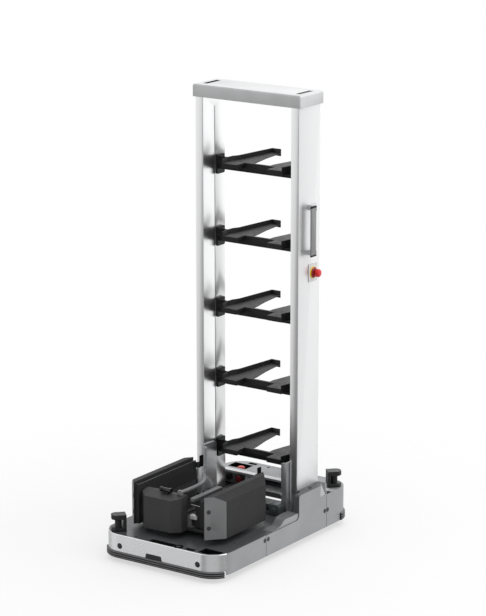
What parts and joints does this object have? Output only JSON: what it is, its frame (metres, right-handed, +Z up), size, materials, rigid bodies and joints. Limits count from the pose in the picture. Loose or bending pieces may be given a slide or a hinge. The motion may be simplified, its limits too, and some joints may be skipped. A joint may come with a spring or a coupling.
{
  "type": "autonomous mobile robot",
  "caption": "Wheeled warehouse robot with a lift mast, rotating telescopic-fork tote picker and storage trays on the mast.",
  "frame": {"origin": "on the floor, under the middle of the overall outline", "axes": "+Z up; the picker's nose points to -Y and the trays to +Y; +X is the robot's right seen from behind the nose looking to +Y"},
  "size_m": [0.7578, 1.226, 2.317],
  "materials": {
    "frame_black": "satin",
    "deck_dark": "semi-gloss",
    "rear_deck_grey": "satin",
    "cover_silver": "satin metallic",
    "bumper_rubber": "matt",
    "sensor_black": "gloss",
    "panel_grey": "satin",
    "shelf_grey": "satin",
    "battery_case": "matt",
    "controller_case": "satin",
    "motor_body": "satin",
    "scanner_black": "satin",
    "mast_aluminium": "satin",
    "cap_white": "satin",
    "tray_black": "satin",
    "rail_steel": "ground",
    "handle_grey": "satin",
    "station_plate": "satin",
    "screw_steel": "satin",
    "carriage_black": "satin",
    "carriage_alloy": "satin",
    "hose_grey": "satin",
    "picker_bed": "satin",
    "arm_black": "satin",
    "end_cap_grey": "satin",
    "nose_black": "satin",
    "duct_grey": "satin",
    "fork_steel": "satin",
    "finger_black": "matt",
    "wheel_tyre": "matt",
    "caster_steel": "satin",
    "caster_tread": "matt",
    "button_red": "gloss",
    "knob_black": "matt"
  },
  "bodies": {
    "base": {"chassis": "frame_black", "front_deck": "deck_dark", "front_cover": "cover_silver", "bumpers": "bumper_rubber", "front_sensors": "sensor_black", "side_panels_front": "panel_grey", "side_panels_middle": "panel_grey", "rear_cover": "panel_grey", "rear_deck": "rear_deck_grey", "control_shelf": "shelf_grey", "battery": "battery_case", "controller": "controller_case", "deck_fairings": "panel_grey", "drive_motors": "motor_body", "scanners": "scanner_black", "mast_uprights": "mast_aluminium", "mast_cap": "cap_white", "tray_1": "tray_black", "tray_2": "tray_black", "tray_3": "tray_black", "tray_4": "tray_black", "tray_5": "tray_black", "guide_rails": "rail_steel", "lift_motor": "motor_body", "handle": "handle_grey", "stop_station": "station_plate", "panel_screws": "screw_steel"},
    "carriage": {"carriage_columns": "carriage_alloy", "carriage_platform": "carriage_black", "hose_fixed": "hose_grey"},
    "picker": {"picker_base": "picker_bed", "arm_cover_left": "arm_black", "arm_cover_right": "arm_black", "arm_end_caps": "end_cap_grey", "inner_panels": "arm_black", "nose_housing": "nose_black", "picker_camera": "sensor_black", "cable_duct": "duct_grey", "fork_drive": "arm_black", "hose_turning": "hose_grey"},
    "fork_mid_left": {"fork_mid_left": "fork_steel"},
    "fork_mid_right": {"fork_mid_right": "fork_steel"},
    "fork_tip_left": {"fork_tip_left": "fork_steel"},
    "fork_tip_right": {"fork_tip_right": "fork_steel"},
    "finger_left": {"finger_left": "finger_black"},
    "finger_right": {"finger_right": "finger_black"},
    "drive_wheel_left": {"drive_wheel_left": "wheel_tyre"},
    "drive_wheel_right": {"drive_wheel_right": "wheel_tyre"},
    "stop_button": {"stop_button": "button_red"},
    "deck_stop_button": {"deck_stop_button": "button_red"},
    "power_knob": {"power_knob": "knob_black"},
    "reset_button": {"reset_button": "button_red"},
    "caster_fork_front_left": {"caster_fork_front_left": "caster_steel"},
    "caster_wheel_front_left": {"caster_wheel_front_left": "caster_tread"},
    "caster_fork_front_right": {"caster_fork_front_right": "caster_steel"},
    "caster_wheel_front_right": {"caster_wheel_front_right": "caster_tread"},
    "caster_fork_rear_left": {"caster_fork_rear_left": "caster_steel"},
    "caster_wheel_rear_left": {"caster_wheel_rear_left": "caster_tread"},
    "caster_fork_rear_right": {"caster_fork_rear_right": "caster_steel"},
    "caster_wheel_rear_right": {"caster_wheel_rear_right": "caster_tread"}
  },
  "joints": [
    {"name": "lift", "type": "slide", "parent": "base", "child": "carriage", "axis": [0, 0, 1], "range_m": [0, 1.69]},
    {"name": "picker_turn", "type": "hinge", "parent": "carriage", "child": "picker", "pos_m": [0, -0.256, 0.18], "axis": [0, 0, 1], "range_deg": [-90, 90]},
    {"name": "fork_left_slide", "type": "slide", "parent": "picker", "child": "fork_mid_left", "axis": [0, 1, 0], "range_m": [0, 0.32]},
    {"name": "fork_left_tip_slide", "type": "slide", "parent": "fork_mid_left", "child": "fork_tip_left", "axis": [0, 1, 0], "range_m": [0, 0.32]},
    {"name": "fork_right_slide", "type": "slide", "parent": "picker", "child": "fork_mid_right", "axis": [0, 1, 0], "range_m": [0, 0.32]},
    {"name": "fork_right_tip_slide", "type": "slide", "parent": "fork_mid_right", "child": "fork_tip_right", "axis": [0, 1, 0], "range_m": [0, 0.32]},
    {"name": "finger_left_flip", "type": "hinge", "parent": "fork_tip_left", "child": "finger_left", "pos_m": [-0.204, 0.006, 0.245], "axis": [0, 1, 0], "range_deg": [0, 90]},
    {"name": "finger_right_flip", "type": "hinge", "parent": "fork_tip_right", "child": "finger_right", "pos_m": [0.204, 0.006, 0.245], "axis": [0, -1, 0], "range_deg": [0, 90]},
    {"name": "drive_left_spin", "type": "hinge", "parent": "base", "child": "drive_wheel_left", "pos_m": [-0.291, 0.242, 0.07], "axis": [1, 0, 0], "continuous": true},
    {"name": "drive_right_spin", "type": "hinge", "parent": "base", "child": "drive_wheel_right", "pos_m": [0.291, 0.242, 0.07], "axis": [1, 0, 0], "continuous": true},
    {"name": "caster_front_left_swivel", "type": "hinge", "parent": "base", "child": "caster_fork_front_left", "pos_m": [-0.27, -0.43, 0.1], "axis": [0, 0, 1], "continuous": true},
    {"name": "caster_front_left_spin", "type": "hinge", "parent": "caster_fork_front_left", "child": "caster_wheel_front_left", "pos_m": [-0.27, -0.402, 0.0375], "axis": [1, 0, 0], "continuous": true},
    {"name": "caster_front_right_swivel", "type": "hinge", "parent": "base", "child": "caster_fork_front_right", "pos_m": [0.27, -0.43, 0.1], "axis": [0, 0, 1], "continuous": true},
    {"name": "caster_front_right_spin", "type": "hinge", "parent": "caster_fork_front_right", "child": "caster_wheel_front_right", "pos_m": [0.27, -0.402, 0.0375], "axis": [1, 0, 0], "continuous": true},
    {"name": "caster_rear_left_swivel", "type": "hinge", "parent": "base", "child": "caster_fork_rear_left", "pos_m": [-0.27, 0.48, 0.1], "axis": [0, 0, 1], "continuous": true},
    {"name": "caster_rear_left_spin", "type": "hinge", "parent": "caster_fork_rear_left", "child": "caster_wheel_rear_left", "pos_m": [-0.27, 0.508, 0.0375], "axis": [1, 0, 0], "continuous": true},
    {"name": "caster_rear_right_swivel", "type": "hinge", "parent": "base", "child": "caster_fork_rear_right", "pos_m": [0.27, 0.48, 0.1], "axis": [0, 0, 1], "continuous": true},
    {"name": "caster_rear_right_spin", "type": "hinge", "parent": "caster_fork_rear_right", "child": "caster_wheel_rear_right", "pos_m": [0.27, 0.508, 0.0375], "axis": [1, 0, 0], "continuous": true},
    {"name": "stop_button_press", "type": "slide", "parent": "base", "child": "stop_button", "axis": [-1, 0, 0], "range_m": [0, 0.0045], "stiffness_N_per_m": 1500},
    {"name": "deck_stop_press", "type": "slide", "parent": "base", "child": "deck_stop_button", "axis": [0, 0, -1], "range_m": [0, 0.0045], "stiffness_N_per_m": 1500},
    {"name": "power_knob_turn", "type": "hinge", "parent": "base", "child": "power_knob", "pos_m": [-0.29, 0.4303, 0.171], "axis": [0, 1, 0], "range_deg": [0, 90]},
    {"name": "reset_button_press", "type": "slide", "parent": "base", "child": "reset_button", "axis": [0, 1, 0], "range_m": [0, 0.0045], "stiffness_N_per_m": 600}
  ],
  "couplings": [
    {"joint": "fork_left_tip_slide", "follows": "fork_left_slide", "ratio": 1},
    {"joint": "fork_right_slide", "follows": "fork_left_slide", "ratio": 1},
    {"joint": "fork_right_tip_slide", "follows": "fork_left_slide", "ratio": 1},
    {"joint": "finger_right_flip", "follows": "finger_left_flip", "ratio": 1}
  ]
}
